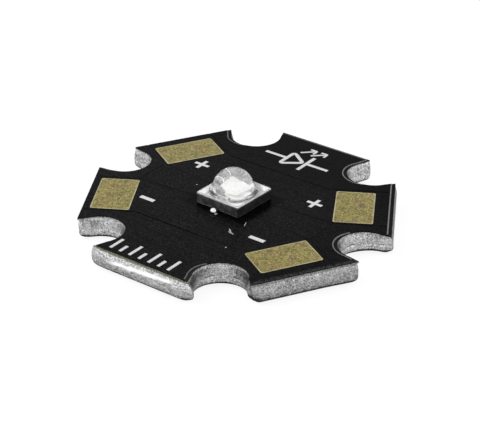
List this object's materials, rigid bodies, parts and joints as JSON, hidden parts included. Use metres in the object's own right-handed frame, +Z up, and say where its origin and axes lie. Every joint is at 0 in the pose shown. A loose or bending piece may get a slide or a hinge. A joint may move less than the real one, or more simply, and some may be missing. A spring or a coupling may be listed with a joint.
{
  "type": "power led on a star board",
  "caption": "Star-shaped aluminium-core circuit board with a domed ceramic power led soldered at its middle and gold wire pads round it.",
  "frame": {"origin": "middle of the board's underside", "axes": "+Z up through the lens, the way the light leaves; the screw notches lie at 0, 60, 120, 180, 240 and 300 degrees from +X, with the plus wire pads on the +Y side"},
  "size_m": [0.0214, 0.0204, 0.004],
  "materials": {
    "core": "rolled sheet, sheared grainy edges",
    "insulation": "filled resin",
    "copper": "etched foil",
    "mask": "black satin solder mask with white signs",
    "gold": "thin gold over nickel, mottled",
    "solder": "bright solder",
    "ceramic": "fired grey ceramic",
    "silver": "bright silver metal",
    "chip": "polished semiconductor",
    "lens": "clear silicone"
  },
  "bodies": {
    "root": {"base_plate": "core", "insulation_layer": "insulation", "copper_plus": "copper", "copper_minus": "copper", "copper_thermal": "copper", "copper_fill_back": "copper", "copper_fill_front": "copper", "copper_fill_left": "copper", "copper_fill_right": "copper", "solder_mask": "mask", "wire_pad_plus_right": "gold", "wire_pad_plus_left": "gold", "wire_pad_minus_left": "gold", "wire_pad_minus_right": "gold", "solder_plus": "solder", "solder_minus": "solder", "solder_thermal": "solder", "contact_plus": "gold", "contact_minus": "gold", "contact_thermal": "gold", "ceramic_body": "ceramic", "feeds_plus": "gold", "feeds_minus": "gold", "top_metal_plus": "silver", "top_metal_minus": "silver", "led_chip": "chip", "guard_chip": "chip", "bond_wires": "gold", "guard_wire": "gold", "lens": "lens"}
  },
  "joints": []
}
